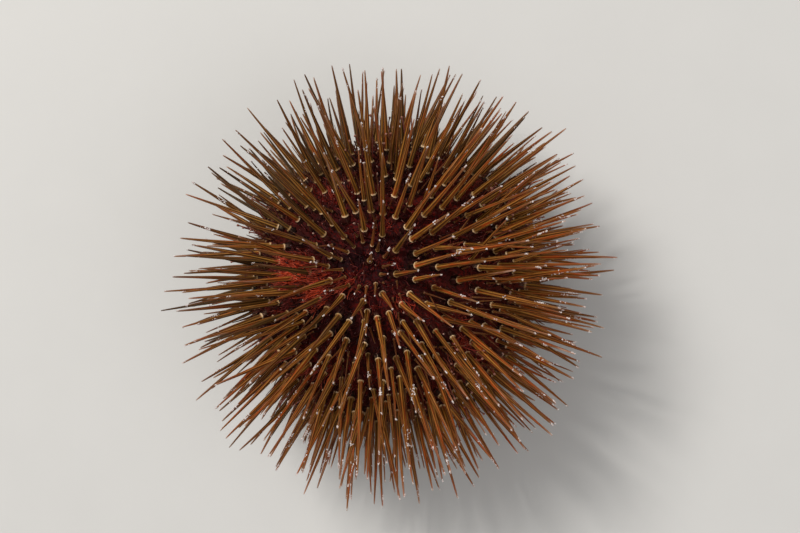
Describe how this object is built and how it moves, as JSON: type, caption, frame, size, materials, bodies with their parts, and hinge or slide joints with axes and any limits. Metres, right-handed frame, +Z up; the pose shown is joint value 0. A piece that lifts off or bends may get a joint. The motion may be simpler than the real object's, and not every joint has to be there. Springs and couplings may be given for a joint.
{
  "type": "rock sea urchin",
  "caption": "Still life-size model of a live rock sea urchin: a low round test under long pointed spines, with vent plates above and the toothed mouth below.",
  "frame": {"origin": "on the floor under the centre of the whole animal, spines included", "axes": "+Z up from the mouth to the vent, along the shortest side; +Y is the top of the picture and +X its right"},
  "size_m": [0.0916, 0.091, 0.051],
  "materials": {
    "spines": "olive-brown spines with orange-brown streaks, cream milled rings and pale tips, on a dark maroon test",
    "plates": "dark maroon calcite plates under thin skin",
    "membrane": "soft reddish-brown skin, damp",
    "teeth": "hard cream-white teeth"
  },
  "bodies": {
    "root": {"ambulacrum_1": "spines", "interambulacrum_1": "spines", "ambulacrum_2": "spines", "interambulacrum_2": "spines", "ambulacrum_3": "spines", "interambulacrum_3": "spines", "ambulacrum_4": "spines", "interambulacrum_4": "spines", "ambulacrum_5": "spines", "interambulacrum_5": "spines", "apical_disc": "plates", "periproct": "plates", "peristome": "membrane", "lantern_teeth": "teeth"}
  },
  "joints": []
}
